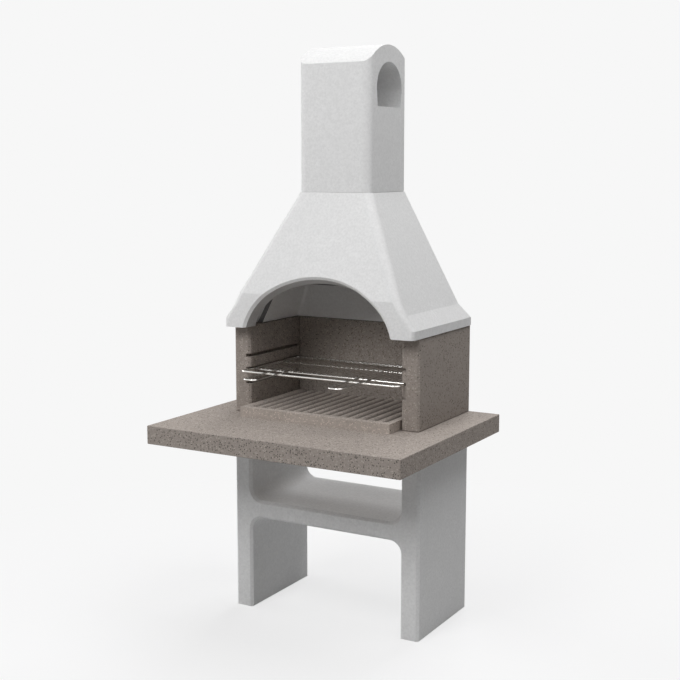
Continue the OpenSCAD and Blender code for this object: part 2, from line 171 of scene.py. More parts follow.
def round_edges(obj, width, segments=3, angle=SHARP, share=None):
    """Rounds sharp edges and the creases between broad faces; share gives an edge's part of the width."""
    bm = bmesh.new()
    bm.from_mesh(obj.data)
    weight = bm.edges.layers.float.new("bevel_weight_edge")
    wide = {face for face in bm.faces if broad(face)}
    for edge in bm.edges:
        if len(edge.link_faces) != 2:
            continue
        turn = edge.calc_face_angle(0)
        creased = turn > CREASE and all(face in wide for face in edge.link_faces)
        if turn > angle or creased:
            edge[weight] = share(edge) if share else 1.0
    for face in bm.faces:
        face.smooth = True
    bm.to_mesh(obj.data)
    bm.free()
    bevel = obj.modifiers.new("Rounded edges", "BEVEL")
    bevel.width = width
    bevel.segments = segments
    bevel.limit_method = "WEIGHT"
    bevel.miter_outer = "MITER_ARC"
    even = obj.modifiers.new("Flat faces", "WEIGHTED_NORMAL")
    even.mode = "FACE_AREA"
    even.weight = FACE_WEIGHT
    bake_modifiers(obj)
    weights = obj.data.attributes.get("bevel_weight_edge")
    if weights:
        obj.data.attributes.remove(weights)
    return obj


def connected_parts(bm):
    """The connected parts of a mesh, as sets of vertices."""
    left = set(bm.verts)
    parts = []
    while left:
        stack = [left.pop()]
        part = set(stack)
        while stack:
            for edge in stack.pop().link_edges:
                for vert in edge.verts:
                    if vert in left:
                        left.discard(vert)
                        part.add(vert)
                        stack.append(vert)
        parts.append(part)
    return parts


def outer_shell(bm):
    """Keeps the largest of a mesh's connected parts, so closed channels inside a casting go."""
    keep = max(connected_parts(bm), key=lambda part: max(v.co.x for v in part) - min(v.co.x for v in part))
    bmesh.ops.delete(bm, geom=[v for v in bm.verts if v not in keep], context="VERTS")


def joined_triangles(node):
    """A node's mesh with its loose triangles joined at their corners."""
    bm = bmesh.new()
    bm.from_mesh(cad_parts[node].data)
    bmesh.ops.remove_doubles(bm, verts=bm.verts, dist=MERGE_DISTANCE)
    return bm


def whole_faces(bm):
    """Makes one face of the triangles that lie in one plane."""
    bmesh.ops.dissolve_limit(bm, angle_limit=FLAT_ANGLE, verts=bm.verts, edges=bm.edges)


def casting_from_node(node, name):
    """A copy of a node's mesh, with its flat faces whole and its inner channels left out."""
    bm = joined_triangles(node)
    outer_shell(bm)
    whole_faces(bm)
    return built_object(name, bm)


def box_casting(name, low, high):
    """A block between two corners, as the start of a slab."""
    bm = bmesh.new()
    bmesh.ops.create_cube(bm, size=1)
    for vert in bm.verts:
        vert.co = Vector([low[i] if vert.co[i] < 0 else high[i] for i in range(3)])
    bmesh.ops.recalc_face_normals(bm, faces=bm.faces)
    return built_object(name, bm)


def face_outward(obj):
    """Turns all faces of a closed mesh outward."""
    bm = bmesh.new()
    bm.from_mesh(obj.data)
    bmesh.ops.recalc_face_normals(bm, faces=bm.faces)
    bm.to_mesh(obj.data)
    bm.free()
    return obj


# Trees of nodes


class Tree:
    """Short way to write a tree of nodes."""

    def __init__(self, tree):
        self.tree = tree

    def add(self, kind, values=None, **properties):
        """A node with its properties; each value goes to an input, as a constant or another node's output."""
        node = self.tree.nodes.new(kind)
        for key, value in properties.items():
            setattr(node, key, value)
        for key, value in (values or {}).items():
            feed(self.tree, value, node.inputs[key])
        return node

    def math(self, operation, a, b=0.0):
        """One sum of two values."""
        return self.add("ShaderNodeMath", {0: a, 1: b}, operation=operation).outputs[0]


class Geometry(Tree):
    """A tree of Geometry Nodes with named inputs."""

    def __init__(self, name):
        super().__init__(bpy.data.node_groups.new(name, "GeometryNodeTree"))
        self.tree.interface.new_socket(name="Geometry", in_out="OUTPUT", socket_type="NodeSocketGeometry")
        self.entry = self.tree.nodes.new("NodeGroupInput")
        self.values = {}

    def value(self, name, kind, level):
        """A named input of the tree, with the value that its modifier gets."""
        socket = self.tree.interface.new_socket(name=name, in_out="INPUT", socket_type="NodeSocket" + kind)
        self.values[socket.identifier] = level
        return self.entry.outputs[name]

    def vector(self, x, y, z):
        """A vector of three values."""
        return self.add("ShaderNodeCombineXYZ", {0: x, 1: y, 2: z}).outputs[0]

    def joined(self, *parts):
        """Several geometries as one, in their order."""
        node = self.add("GeometryNodeJoinGeometry")
        for part in reversed(parts):
            self.tree.links.new(part, node.inputs[0])
        return node.outputs[0]

    def moved(self, geometry, place=(0, 0, 0), turn=(0, 0, 0), size=(1, 1, 1)):
        """A geometry scaled, turned and moved."""
        node = self.add("GeometryNodeTransform", {"Geometry": geometry, "Translation": place,
                                                  "Rotation": turn, "Scale": size})
        return node.outputs[0]

    def build(self, name, geometry, finish):
        """Ends the tree, runs it on a new object and returns that object with a plain mesh."""
        real = self.add("GeometryNodeRealizeInstances", {"Geometry": geometry}).outputs[0]
        done = self.add("GeometryNodeSetMaterial", {"Geometry": real, "Material": finish}).outputs[0]
        self.tree.links.new(done, self.tree.nodes.new("NodeGroupOutput").inputs[0])
        obj = new_object(name, bpy.data.meshes.new(name))
        modifier = obj.modifiers.new(self.tree.name, "NODES")
        modifier.node_group = self.tree
        for identifier, level in self.values.items():
            modifier[identifier] = level
        return bake_modifiers(obj)


# Materials


class Nodes(Tree):
    """The node tree of a new material; an offset makes a pattern differ between castings."""

    def __init__(self, name, offset=None):
        self.material = bpy.data.materials.new(name)
        self.material.use_nodes = True
        super().__init__(self.material.node_tree)
        self.tree.nodes.clear()
        self.place = self.add("ShaderNodeTexCoord").outputs["Object"]
        self.pattern = self.place
        if offset:
            moved = self.add("ShaderNodeMapping", {"Vector": self.place, "Location": offset})
            self.pattern = moved.outputs[0]

    def noise(self, scale, detail, rough):
        """Soft noise, with its scale in waves per metre."""
        node = self.add("ShaderNodeTexNoise", {
            "Vector": self.pattern, "Scale": scale, "Detail": detail, "Roughness": rough})
        return node.outputs["Fac"]

    def grains(self, scale):
        """Voronoi cells: the distance from each grain's middle, and two random values for each grain."""
        node = self.add("ShaderNodeTexVoronoi", {"Vector": self.pattern, "Scale": scale, "Randomness": 1.0})
        split = self.add("ShaderNodeSeparateColor", {"Color": node.outputs["Color"]})
        return node.outputs["Distance"], split.outputs[0], split.outputs[1]

    def ramp(self, value, *stops):
        """Values from a ramp, each stop being (place, value)."""
        node = self.add("ShaderNodeValToRGB", {"Fac": value})
        ramp = node.color_ramp
        while len(ramp.elements) < len(stops):
            ramp.elements.new(1.0)
        for element, (place, level) in zip(ramp.elements, stops):
            element.position = place
            element.color = (level, level, level, 1)
        return node.outputs["Color"]

    def mix(self, factor, a, b):
        """A mix of two colours; 6, 7 and 2 are the places of the colour sockets."""
        return self.add("ShaderNodeMix", {0: factor, 6: a, 7: b}, data_type="RGBA").outputs[2]

    def channel_shade_mask(self, top, depth):
        """Mask for the painted shade in the channels: how far a place that looks up lies below the top, from
        0 to 1 over the channels' depth.
        """
        height = self.add("ShaderNodeSeparateXYZ", {0: self.place}).outputs["Z"]
        normal = self.add("ShaderNodeNewGeometry").outputs["Normal"]
        upward = self.add("ShaderNodeSeparateXYZ", {0: normal}).outputs["Z"]
        share = self.math("DIVIDE", self.math("SUBTRACT", top, height), depth)
        soft = self.ramp(share, (0.06, 0.0), (0.6, 1.0))
        return self.math("MULTIPLY", soft, self.ramp(upward, (0.3, 0.0), (0.5, 1.0)))

    def bump(self, height, strength, distance, normal=None):
        """A surface raised by a height, on top of another bump if there is one."""
        values = {"Height": height, "Strength": strength, "Distance": distance}
        if normal is not None:
            values["Normal"] = normal
        return self.add("ShaderNodeBump", values).outputs["Normal"]

    def surface(self, colour, normal, roughness, metallic=0.0, specular=0.5):
        """The shader and the end of the tree."""
        shader = self.add("ShaderNodeBsdfPrincipled", {
            "Base Color": colour, "Roughness": roughness, "Metallic": metallic,
            "Specular IOR Level": specular, "Normal": normal})
        self.add("ShaderNodeOutputMaterial", {"Surface": shader.outputs[0]})
        return self.material


# Shades of the granulate, as shares of its colour
DARK_CLOUD = 0.95
LIGHT_CLOUD = 1.07
PATCH = 1.16
SAND = 0.74
LIGHT_GRAIN = 1.55
DARK_GRAIN = 0.28
# Painted shade deep in the hearth plate's channels
PAINTED_CHANNEL_SHADE = 0.5
# Shades of fine concrete: how much darker than its colour, in units of its mottling, and the share of the
# painted shade in its air holes
BROAD_CLOUD_MOTTLES = 0.8
PATCH_MOTTLES = 3
SAND_MOTTLES = 2.2
AIR_HOLE_SHADE = 0.5
# How far matt concrete mirrors
CONCRETE_SPECULAR = 0.3


def scaled(colour, factor):
    """A colour made darker or lighter."""
    return tuple(min(channel * factor, 1.0) for channel in colour[:3]) + (1.0,)


def granulate_concrete(name, colour, offset=None, channel=None):
    """Brownish grey concrete with dark and light grains of stone, and painted shade in its channels if it has
    any.
    """
    n = Nodes(name, offset)
    distance, light_pick, dark_pick = n.grains(scale=190)
    _, fine_pick, _ = n.grains(scale=430)
    cloud = n.ramp(n.noise(scale=14, detail=5, rough=0.6), (0.3, 0.0), (0.7, 1.0))
    body = n.mix(cloud, scaled(colour, DARK_CLOUD), scaled(colour, LIGHT_CLOUD))
    patch = n.ramp(n.noise(scale=95, detail=3, rough=0.6), (0.36, 0.0), (0.64, 1.0))
    body = n.mix(patch, body, scaled(colour, PATCH))
    body = n.mix(n.ramp(fine_pick, (0.0, 0.6), (0.5, 0.0), (1.0, 0.5)), body, scaled(colour, SAND))
    light = n.ramp(light_pick, (0.72, 0.0), (0.78, 1.0))
    dark = n.ramp(dark_pick, (0.80, 0.0), (0.86, 1.0))
    grain = n.ramp(distance, (0.3, 1.0), (0.55, 0.0))
    light_grain = n.math("MULTIPLY", light, n.math("MULTIPLY", grain, 0.85))
    dark_grain = n.math("MULTIPLY", dark, n.math("MULTIPLY", grain, 0.95))
    body = n.mix(light_grain, body, scaled(colour, LIGHT_GRAIN))
    body = n.mix(dark_grain, body, scaled(colour, DARK_GRAIN))
    # Painted shade: darker the deeper a place lies in a channel
    if channel:
        body = n.mix(n.channel_shade_mask(*channel), body, scaled(colour, PAINTED_CHANNEL_SHADE))
    sand = n.noise(scale=420, detail=3, rough=0.6)
    normal = n.bump(sand, strength=0.35, distance=0.0012)
    normal = n.bump(distance, strength=0.25, distance=0.0008, normal=normal)
    rough = n.ramp(n.noise(scale=60, detail=3, rough=0.5), (0.2, 0.82), (0.8, 0.96))
    return n.surface(body, normal, rough, specular=CONCRETE_SPECULAR)


def fine_concrete(name, colour, mottle, offset=None):
    """Fine cast concrete: soft mottling, sandy grain and a few small air holes, darkened as painted shade."""
    n = Nodes(name, offset)
    cloud = n.ramp(n.noise(scale=26, detail=6, rough=0.62), (0.32, 0.0), (0.68, 1.0))
    body = n.mix(cloud, scaled(colour, 1 - mottle), scaled(colour, 1 + mottle))
    broad_cloud = n.ramp(n.noise(scale=5, detail=3, rough=0.5), (0.35, 0.0), (0.7, 0.6))
    body = n.mix(broad_cloud, body, scaled(colour, 1 - BROAD_CLOUD_MOTTLES * mottle))
    patch = n.ramp(n.noise(scale=120, detail=3, rough=0.6), (0.36, 0.0), (0.66, 1.0))
    body = n.mix(patch, body, scaled(colour, 1 - PATCH_MOTTLES * mottle))
    _, sand, _ = n.grains(scale=640)
    sandy = n.ramp(sand, (0.0, 0.5), (0.35, 0.0), (1.0, 0.0))
    body = n.mix(sandy, body, scaled(colour, 1 - SAND_MOTTLES * mottle))
    distance, pick, _ = n.grains(scale=75)
    pit = n.ramp(distance, (0.035, 1.0), (0.07, 0.0))
    hole = n.math("MULTIPLY", pit, n.ramp(pick, (0.72, 0.0), (0.76, 1.0)))
    # Painted shade inside the air holes
    body = n.mix(n.math("MULTIPLY", hole, 0.5), body, scaled(colour, AIR_HOLE_SHADE))
    grit = n.noise(scale=330, detail=4, rough=0.62)
    wave = n.noise(scale=18, detail=2, rough=0.5)
    normal = n.bump(grit, strength=0.3, distance=0.0008)
    normal = n.bump(n.math("MULTIPLY", hole, -1.0), strength=0.6, distance=0.0015, normal=normal)
    normal = n.bump(wave, strength=0.25, distance=0.002, normal=normal)
    rough = n.ramp(n.noise(scale=40, detail=3, rough=0.5), (0.2, 0.80), (0.8, 0.94))
    return n.surface(body, normal, rough, specular=CONCRETE_SPECULAR)


def chromed_wire(name, colour):
    """Bright chromed wire with fine drawing marks."""
    n = Nodes(name)
    rough = n.ramp(n.noise(scale=90, detail=4, rough=0.6), (0.3, 0.16), (0.75, 0.28))
    body = n.mix(n.noise(scale=30, detail=3, rough=0.5), scaled(colour, 0.94), scaled(colour, 1.04))
    normal = n.bump(n.noise(scale=900, detail=2, rough=0.5), strength=0.12, distance=0.0002)
    return n.surface(body, normal, rough, metallic=1.0)


def drawn_steel(name, colour):
    """Steel bars with a thin mill skin."""
    n = Nodes(name)
    body = n.mix(n.noise(scale=70, detail=5, rough=0.6), scaled(colour, 0.7), scaled(colour, 1.15))
    normal = n.bump(n.noise(scale=500, detail=3, rough=0.6), strength=0.3, distance=0.0004)
    return n.surface(body, normal, 0.55, metallic=0.8)


def material(key):
    """One of the object's materials, made when it is first asked for."""
    found = bpy.data.materials.get(key)
    if found:
        return found
    colours = bpy.context.scene.barbecue_colours
    granulate = colours.granulate
    white = colours.white
    channel = (frame_box("hearth_plate")[1].z, bpy.context.scene.barbecue_sizes.channel_depth)
    # Maker and colour, then a fine concrete's mottling, the offset of a pattern and the channels that get
    # painted shade
    looks = {
        "worktop granulate": (granulate_concrete, granulate),
        "wall granulate": (granulate_concrete, scaled(granulate, 0.98), (3.1, 1.7, 0.6)),
        "hearth granulate": (granulate_concrete, scaled(granulate, 1.32), (7.3, 2.2, 4.1), channel),
        "white cast concrete": (fine_concrete, white, 0.034),
        # White concrete darkened to paint the shade in the hood's mouth
        "mouth cast concrete": (fine_concrete, scaled(white, 0.65), 0.034),
        # Darker concrete that paints the shade inside the hood and under it
        "raw cast concrete": (fine_concrete, colours.raw, 0.04, (4.4, 1.9, 3.3)),
        "grey cast concrete": (fine_concrete, colours.grey, 0.035, (2.7, 5.1, 1.3)),
        "cured adhesive": (fine_concrete, scaled(granulate, 0.85), 0.05, (5.5, 0.4, 2.0)),
        "joint mortar": (fine_concrete, scaled(white, 0.9), 0.03, (1.2, 6.4, 0.7)),
        # Near black, to paint the shadow in the joint under the hood's lip
        "dark joint": (fine_concrete, (0.03, 0.028, 0.026), 0.05, (6.2, 3.4, 5.7)),
        "chromed wire": (chromed_wire, colours.chrome),
        # Near-black beads that paint the shadow where each wire crosses a bar
        "weld metal": (drawn_steel, (0.10, 0.095, 0.09)),
        "drawn steel": (drawn_steel, (0.16, 0.14, 0.13)),
    }
    make, *details = looks[key]
    return make(key, *details)


# Castings


def prism(name, outline, low_y, high_y):
    """A solid that runs along Y behind an outline of (x, z) points."""
    bm = bmesh.new()
    front = [bm.verts.new((x, low_y, z)) for x, z in outline]
    back = [bm.verts.new((x, high_y, z)) for x, z in outline]
    bm.faces.new(front)
    bm.faces.new(list(reversed(back)))
    for i in range(len(outline)):
        j = (i + 1) % len(outline)
        bm.faces.new((front[j], front[i], back[i], back[j]))
    bmesh.ops.recalc_face_normals(bm, faces=bm.faces)
    return built_object(name, bm)


def quarter(centre, radius, start, steps):
    """Points of a quarter of a circle from an angle in degrees."""
    angles = [math.radians(start + 90 * i / steps) for i in range(steps + 1)]
    return [(centre[0] + radius * math.cos(angle), centre[1] + radius * math.sin(angle)) for angle in angles]


def base_outline(low, high, sizes):
    """Front outline of the base: two legs and a shelf with rounded inner corners."""
    half = high.x
    inner = half - sizes.leg_thickness
    radius = sizes.shelf_corner
    shelf_low = sizes.shelf_height
    shelf_high = shelf_low + sizes.shelf_thickness
    right_low = quarter((inner - radius, shelf_low - radius), radius, 0, CORNER_STEPS)
    left_low = quarter((-inner + radius, shelf_low - radius), radius, 90, CORNER_STEPS)
    left_high = quarter((-inner + radius, shelf_high + radius), radius, 180, CORNER_STEPS)
    right_high = quarter((inner - radius, shelf_high + radius), radius, 270, CORNER_STEPS)
    return ([(half, low.z), (half, high.z), (inner, high.z)]
            + list(reversed(right_high)) + list(reversed(left_high))
            + [(-inner, high.z), (-half, high.z), (-half, low.z), (-inner, low.z)]
            + list(reversed(left_low)) + list(reversed(right_low)) + [(inner, low.z)])


class BARBECUE_OT_base(bpy.types.Operator):
    """Cast the H-shaped base: two legs and a shelf, with rounded edges"""
    bl_idname = "barbecue.base"
    bl_label = "Base"

    def execute(self, context):
        sizes = context.scene.barbecue_sizes
        low, high = frame_box("base_frame")
        obj = prism("base_casting", base_outline(low, high, sizes), low.y, high.y)

        def share(edge):
            """Full bevels around the front and the back, and small ones under the soles and on top."""
            first, second = (vert.co for vert in edge.verts)
            around = abs(first.y - second.y) < LEVEL
            sole = all(co.z < low.z + LEVEL or co.z > high.z - LEVEL for co in (first, second))
            return 1.0 if around and not (sole and abs(first.z - second.z) < LEVEL) else SOLE_SHARE

        round_edges(obj, sizes.leg_edge, 1, BASE_SHARP, share)
        round_edges(obj, sizes.leg_rounding, 2, BEVEL_SHARP)
        finish_piece(obj, ROOT, ["base_frame"], material("grey cast concrete"))
        return {"FINISHED"}


class BARBECUE_OT_worktop(bpy.types.Operator):
    """Cast the worktop slab"""
    bl_idname = "barbecue.worktop"
    bl_label = "Worktop"

    def execute(self, context):
        sizes = context.scene.barbecue_sizes
        low, high = frame_box("worktop")
        obj = box_casting("worktop_slab", low, high)
        round_edges(obj, sizes.slab_edge)
        finish_piece(obj, ROOT, ["worktop"], material("worktop granulate"))
        return {"FINISHED"}


class BARBECUE_OT_firebox(bpy.types.Operator):
    """Cast the two grooved side walls and the back panel"""
    bl_idname = "barbecue.firebox"
    bl_label = "Firebox"

    def execute(self, context):
        sizes = context.scene.barbecue_sizes
        for node in ("left_wall", "right_wall", "back_panel"):
            obj = casting_from_node(node, node + "_casting")
            round_edges(obj, sizes.wall_edge, 2)
            finish_piece(obj, ROOT, [node], material("wall granulate"))
        return {"FINISHED"}


def ribbed_plate(low, high, sizes, finish):
    """Plate with narrow channels between broad round ribs, closed off before the front edge."""
    g = Geometry("Ribbed plate")
    width = g.value("Width", "Float", high.x - low.x)
    depth = g.value("Depth", "Float", high.y - low.y)
    thickness = g.value("Thickness", "Float", high.z - low.z)
    ribs = g.value("Ribs", "Int", sizes.rib_count)
    columns = g.value("Columns per Rib", "Int", 12)
    rows = g.value("Rows", "Int", 105)
    channel = g.value("Channel Depth", "Float", sizes.channel_depth)
    border = g.value("Border", "Float", sizes.plate_border)
    run_out = g.value("Run-out", "Float", sizes.channel_end)
    place = g.value("Place", "Vector", ((low.x + high.x) / 2, (low.y + high.y) / 2, low.z))

    grid = g.add("GeometryNodeMeshGrid", {
        "Size X": width, "Size Y": depth, "Vertices Y": rows,
        "Vertices X": g.math("ADD", g.math("MULTIPLY", ribs, columns), 1.0)}).outputs[0]
    at = g.add("ShaderNodeSeparateXYZ", {0: g.add("GeometryNodeInputPosition").outputs[0]}).outputs
    from_left = g.math("ADD", at[0], g.math("DIVIDE", width, 2.0))
    phase = g.math("DIVIDE", from_left, g.math("DIVIDE", width, ribs))
    from_channel = g.math("ABSOLUTE", g.math("SUBTRACT", phase, g.math("ROUND", phase)))
    valley = g.math("POWER", g.math("SUBTRACT", 1.0, g.math("MULTIPLY", from_channel, 2.0)), 2.0)
    inside = g.math("MULTIPLY", g.math("GREATER_THAN", phase, 0.5),
                    g.math("LESS_THAN", phase, g.math("SUBTRACT", ribs, 0.5)))
    behind = g.math("SUBTRACT", g.math("ADD", at[1], g.math("DIVIDE", depth, 2.0)), border)
    run = g.add("ShaderNodeClamp", {0: g.math("DIVIDE", behind, run_out)}).outputs[0]
    opened = g.math("SUBTRACT", 1.0, g.math("POWER", g.math("SUBTRACT", 1.0, run), 2.0))
    sink = g.math("MULTIPLY", g.math("MULTIPLY", valley, inside), g.math("MULTIPLY", opened, channel))
    top = g.add("GeometryNodeSetPosition", {
        "Geometry": grid, "Offset": g.vector(0.0, 0.0, g.math("SUBTRACT", thickness, sink))}).outputs[0]

    neighbours = g.add("GeometryNodeInputMeshEdgeNeighbors").outputs[0]
    rim = g.math("LESS_THAN", neighbours, 1.5)
    sides = g.add("GeometryNodeExtrudeMesh", {
        "Mesh": top, "Selection": rim, "Offset": (0.0, 0.0, -1.0), "Offset Scale": thickness}, mode="EDGES")
    foot = g.add("GeometryNodeSetPosition", {
        "Geometry": sides.outputs[0], "Selection": sides.outputs[1],
        "Position": g.vector(at[0], at[1], 0.0)}).outputs[0]
    under = g.add("GeometryNodeFlipFaces", {"Mesh": grid}).outputs[0]
    closed = g.add("GeometryNodeMergeByDistance", {
        "Geometry": g.joined(foot, under), "Distance": g.value("Seam", "Float", 0.0002)}).outputs[0]
    return g.build("hearth_plate_casting", g.moved(closed, place), finish)


class BARBECUE_OT_hearth_plate(bpy.types.Operator):
    """Cast the ribbed plate that the fire is lit on"""
    bl_idname = "barbecue.hearth_plate"
    bl_label = "Hearth Plate"

    def execute(self, context):
        sizes = context.scene.barbecue_sizes
        low, high = frame_box("hearth_plate")
        obj = ribbed_plate(low, high, sizes, material("hearth granulate"))
        round_edges(face_outward(obj), sizes.plate_edge, 2, PLATE_SHARP)
        finish_piece(obj, ROOT, ["hearth_plate"], material("hearth granulate"))
        return {"FINISHED"}


def joint_share(*heights):
    """Less rounding for the edges in a joint, at one of these heights."""
    def share(edge):
        """The joint's share for a level edge at one of the heights, and the whole width elsewhere."""
        joint = any(all(abs(vert.co.z - height) < LEVEL for vert in edge.verts) for height in heights)
        return JOINT_SHARE if joint else 1.0
    return share


# A ray starts this far off a face
RAY_START = 0.001
# A face looks down, or out of the hood's front, when its normal's Z or Y is below these
LOOKS_DOWN = -0.8
LOOKS_AHEAD = -0.6


def white_outside(obj, sizes):
    """White concrete outside the hood; darkened white as painted shade in its mouth, and a darker concrete as
    painted shade on faces that look inward or down.
    """
    obj.data.materials.clear()
    for key in ("white cast concrete", "raw cast concrete", "mouth cast concrete"):
        obj.data.materials.append(material(key))
    low, _ = frame_box("hood")
    mouth_z = low.z - sizes.mouth_drop
    for polygon in obj.data.polygons:
        normal, centre = polygon.normal, polygon.center
        # Faces that look back into the hood or down get the painted shade of the inside
        seen = obj.ray_cast(centre + normal * RAY_START, normal)[0]
        under = normal.z < LOOKS_DOWN
        # The mouth's inner faces get white concrete darkened as painted shade
        shaded_reveal = (centre.y < low.y + sizes.mouth_depth and normal.y > LOOKS_AHEAD
                  and normal.x * centre.x + normal.z * (centre.z - mouth_z) < 0)
        polygon.material_index = 2 if shaded_reveal else int(seen or under)


class BARBECUE_OT_hood(bpy.types.Operator):
    """Cast the hollow hood with its arched mouth"""
    bl_idname = "barbecue.hood"
    bl_label = "Hood"

    def execute(self, context):
        sizes = context.scene.barbecue_sizes
        obj = casting_from_node("hood", "hood_casting")
        low, high = frame_box("hood")
        round_edges(obj, sizes.hood_edge, 3, HOOD_SHARP, joint_share(low.z, high.z))
        white_outside(obj, sizes)
        finish_piece(obj, ROOT, ["hood"])
        return {"FINISHED"}


class BARBECUE_OT_chimney(bpy.types.Operator):
    """Cast the chimney with its vaulted roof and its smoke outlets"""
    bl_idname = "barbecue.chimney"
    bl_label = "Chimney"

    def execute(self, context):
        sizes = context.scene.barbecue_sizes
        obj = casting_from_node("chimney", "chimney_casting")
        low, _ = frame_box("chimney")
        round_edges(obj, sizes.hood_edge, 3, HOOD_SHARP, joint_share(low.z))
        finish_piece(obj, ROOT, ["chimney"], material("white cast concrete"))
        return {"FINISHED"}


# Grill


# Rings at the end of a rod: distance from the end and radius, both as shares of the rod's radius
ROD_END_SHARES = ((0.0, 0.5), (0.08, 0.74), (0.22, 0.9), (0.45, 1.0))
ROD_SIDES = 16
UP = Vector((0, 0, 1))
# Welds, as shares of the rod's radius: a bar's end bead, how far in and up it sits, a handle's bead under the
# front rod, and the post between a handle and the crossbar, with its overlap
BAR_WELD_SHARES = (1.1, 1.35, 0.85)
BAR_WELD_INSET_SHARE = 0.3
BAR_WELD_LIFT_SHARE = 0.1
HANDLE_WELD_SHARES = (1.15, 1.1, 0.45)
POST_SHARE = 0.8
POST_OVERLAP_SHARE = 0.25


def add_rod(bm, path, radius, closed=False):
    """A round rod along a level path; an open rod gets slightly domed ends."""
    points = [Vector(point) for point in path]
    rings = []

    def ring(point, along, size):
        """One ring of the rod's corners, square to its path."""
        side = along.cross(UP).normalized()
        angles = [2 * math.pi * i / ROD_SIDES for i in range(ROD_SIDES)]
        rings.append([bm.verts.new(point + size * (math.cos(a) * side + math.sin(a) * UP)) for a in angles])

    if closed:
        for i, point in enumerate(points):
            ring(point, points[(i + 1) % len(points)] - points[i - 1], radius)
    else:
        first = (points[1] - points[0]).normalized()
        last = (points[-1] - points[-2]).normalized()
        for place, size in ROD_END_SHARES:
            ring(points[0] + first * place * radius, first, size * radius)
        for i in range(1, len(points) - 1):
            ring(points[i], points[i + 1] - points[i - 1], radius)
        for place, size in reversed(ROD_END_SHARES):
            ring(points[-1] - last * place * radius, last, size * radius)
        bm.faces.new(rings[0])
        bm.faces.new(list(reversed(rings[-1])))
    pairs = list(zip(rings, rings[1:])) + ([(rings[-1], rings[0])] if closed else [])
    for near, far in pairs:
        for i in range(ROD_SIDES):
            j = (i + 1) % ROD_SIDES
            bm.faces.new((near[i], near[j], far[j], far[i]))


def add_weld(bm, place, size):
    """A small flattened weld bead."""
    made = bmesh.ops.create_icosphere(bm, subdivisions=3, radius=1.0)
    for vert in made["verts"]:
        vert.co = Vector([place[i] + vert.co[i] * size[i] for i in range(3)])


def rod_piece(name, bm, nodes):
    """Turns rods and welds into one finished piece of the grill."""
    bmesh.ops.recalc_face_normals(bm, faces=bm.faces)
    obj = built_object(name, bm)
    smooth_shade(obj, ROD_SHARP)
    return finish_piece(obj, GRILL, nodes, material("chromed wire"))


class BARBECUE_OT_grill_rods(bpy.types.Operator):
    """Bend the grill's frame and weld the crossbars into it"""
    bl_idname = "barbecue.grill_rods"
    bl_label = "Grill Rods"

    def execute(self, context):
        sizes = context.scene.barbecue_sizes
        low, high = frame_box("grill_frame")
        radius = (high.z - low.z) / 2
        bend = sizes.frame_bend
        z = low.z + radius
        x, front, back = high.x - radius, low.y + radius, high.y - radius
        corners = ((x - bend, back - bend, 0), (-x + bend, back - bend, 90),
                   (-x + bend, front + bend, 180), (x - bend, front + bend, 270))
        path = [(px, py, z) for cx, cy, start in corners
                for px, py in quarter((cx, cy), bend, start, BEND_STEPS)]
        bm = bmesh.new()
        add_rod(bm, path, radius, closed=True)
        rod_piece("grill_frame_rod", bm, ["grill_frame"])
        for node in ("grill_front_bar", "grill_middle_bar", "grill_back_bar"):
            low, high = frame_box(node)
            bar = (high.z - low.z) / 2
            y, bar_z = low.y + bar, low.z + bar
            bm = bmesh.new()
            add_rod(bm, [(low.x, y, bar_z), (high.x, y, bar_z)], bar)
            for side in (-1, 1):
                place = (side * (high.x - BAR_WELD_INSET_SHARE * bar), y, bar_z + BAR_WELD_LIFT_SHARE * bar)
                add_weld(bm, place, [share * bar for share in BAR_WELD_SHARES])
            rod_piece(node + "_rod", bm, [node])
        return {"FINISHED"}


class BARBECUE_OT_grill_handles(bpy.types.Operator):
    """Bend the two handles of the grill and weld them to the front rod and crossbar"""
    bl_idname = "barbecue.grill_handles"
    bl_label = "Grill Handles"

    def execute(self, context):
        sizes = context.scene.barbecue_sizes
        bend = sizes.handle_bend
        rod_low, rod_high = frame_box("grill_frame")
        rod_y = rod_low.y + (rod_high.z - rod_low.z) / 2
        bar_low, bar_high = frame_box("grill_front_bar")
        bar_y = (bar_low.y + bar_high.y) / 2
        for node in ("grill_left_handle", "grill_right_handle"):
            low, high = frame_box(node)
            radius = (high.z - low.z) / 2
            z, y = low.z + radius, low.y + radius
            left, right = low.x + radius, high.x - radius
            turns = (quarter((left + bend, y + bend), bend, 180, BEND_STEPS)
                     + quarter((right - bend, y + bend), bend, 270, BEND_STEPS))
            path = [(left, high.y, z)] + [(px, py, z) for px, py in turns] + [(right, high.y, z)]
            bm = bmesh.new()
            add_rod(bm, path, radius)
            middle = (bar_high.z + low.z) / 2
            post = POST_SHARE * radius
            reach = (low.z - bar_high.z) / 2 + POST_OVERLAP_SHARE * radius
            for x in (left, right):
                add_weld(bm, (x, rod_y, low.z), [share * radius for share in HANDLE_WELD_SHARES])
                add_weld(bm, (x, bar_y, middle), (post, post, reach))
            rod_piece(node + "_wire", bm, [node])
        return {"FINISHED"}


# Sides of a wire, and rings and flatness of its domed ends; shape of a weld bead, and how far it sinks in
WIRE_SIDES = 12
WIRE_RINGS = 8
DOME_SHARE = 0.4
BEAD_SHARES = (0.8, 1.3, 0.8)
BEAD_SINK_SHARE = 0.125


def wire_line(g, count, width):
    """A row of points, one for each wire."""
    pitch = g.math("DIVIDE", width, g.math("SUBTRACT", count, 1.0))
    return g.add("GeometryNodeMeshLine", {
        "Count": count, "Start Location": g.vector(g.math("DIVIDE", width, -2.0), 0.0, 0.0),
        "Offset": g.vector(pitch, 0.0, 0.0)}).outputs[0]


